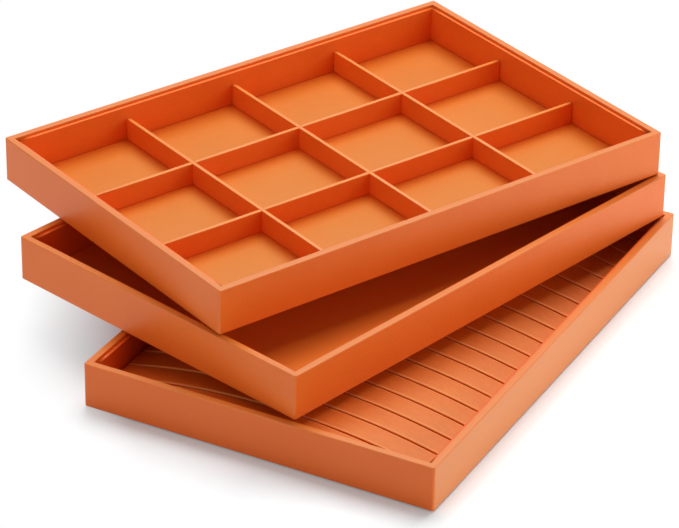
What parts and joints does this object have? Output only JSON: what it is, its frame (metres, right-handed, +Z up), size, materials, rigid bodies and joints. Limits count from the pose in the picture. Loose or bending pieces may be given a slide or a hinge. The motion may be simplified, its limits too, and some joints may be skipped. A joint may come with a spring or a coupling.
{
  "type": "stacking jewelry tray set",
  "caption": "Shallow leatherette trays stacked in a fan: a lift-out divider grid on top, an open tray below it, and a slotted, crowned ring pad at the bottom.",
  "frame": {"origin": "middle of the bottom tray's underside, on the surface it stands on", "axes": "+Z up out of the trays; +X along the bottom tray's long side, to the right; +Y from its front to its back"},
  "size_m": [0.341, 0.2887, 0.072],
  "materials": {
    "cover leatherette": "fine grain, satin",
    "liner leatherette": "fine grain, satin",
    "divider leatherette": "fine grain, satin",
    "floor leatherette": "fine grain, matt",
    "pad leatherette": "fine grain over foam",
    "felt": "short nap",
    "board": "grey board"
  },
  "bodies": {
    "bottom_tray": {"bottom_back_liner": "liner leatherette", "bottom_back_wall": "board", "bottom_base_board": "board", "bottom_cover": "cover leatherette", "bottom_front_liner": "liner leatherette", "bottom_front_wall": "board", "bottom_left_liner": "liner leatherette", "bottom_left_wall": "board", "bottom_right_liner": "liner leatherette", "bottom_right_wall": "board", "bottom_underside_panel": "felt", "ring_pad_board": "board", "ring_strip_01": "pad leatherette", "ring_strip_02": "pad leatherette", "ring_strip_03": "pad leatherette", "ring_strip_04": "pad leatherette", "ring_strip_05": "pad leatherette", "ring_strip_06": "pad leatherette", "ring_strip_07": "pad leatherette", "ring_strip_08": "pad leatherette", "ring_strip_09": "pad leatherette", "ring_strip_10": "pad leatherette", "ring_strip_11": "pad leatherette", "ring_strip_12": "pad leatherette", "ring_strip_13": "pad leatherette", "ring_strip_14": "pad leatherette", "ring_strip_15": "pad leatherette", "ring_strip_16": "pad leatherette", "ring_strip_17": "pad leatherette", "ring_strip_18": "pad leatherette", "ring_strip_19": "pad leatherette"},
    "middle_tray": {"middle_back_liner": "liner leatherette", "middle_back_wall": "board", "middle_base_board": "board", "middle_cover": "cover leatherette", "middle_floor_panel": "floor leatherette", "middle_front_liner": "liner leatherette", "middle_front_wall": "board", "middle_left_liner": "liner leatherette", "middle_left_wall": "board", "middle_right_liner": "liner leatherette", "middle_right_wall": "board", "middle_underside_panel": "felt"},
    "top_tray": {"top_back_liner": "liner leatherette", "top_back_wall": "board", "top_base_board": "board", "top_cover": "cover leatherette", "top_floor_panel": "floor leatherette", "top_front_liner": "liner leatherette", "top_front_wall": "board", "top_left_liner": "liner leatherette", "top_left_wall": "board", "top_right_liner": "liner leatherette", "top_right_wall": "board", "top_underside_panel": "felt"},
    "divider_grid": {"long_divider_back": "divider leatherette", "long_divider_front": "divider leatherette", "short_divider_centre": "divider leatherette", "short_divider_left": "divider leatherette", "short_divider_right": "divider leatherette"}
  },
  "joints": [
    {"name": "middle_tray_lift", "type": "slide", "parent": "bottom_tray", "child": "middle_tray", "axis": [0, 0, 1], "range_m": [0, 0.1]},
    {"name": "top_tray_lift", "type": "slide", "parent": "middle_tray", "child": "top_tray", "axis": [0, 0, 1], "range_m": [0, 0.1]},
    {"name": "divider_grid_lift", "type": "slide", "parent": "top_tray", "child": "divider_grid", "axis": [0, 0, 1], "range_m": [0, 0.06]}
  ]
}
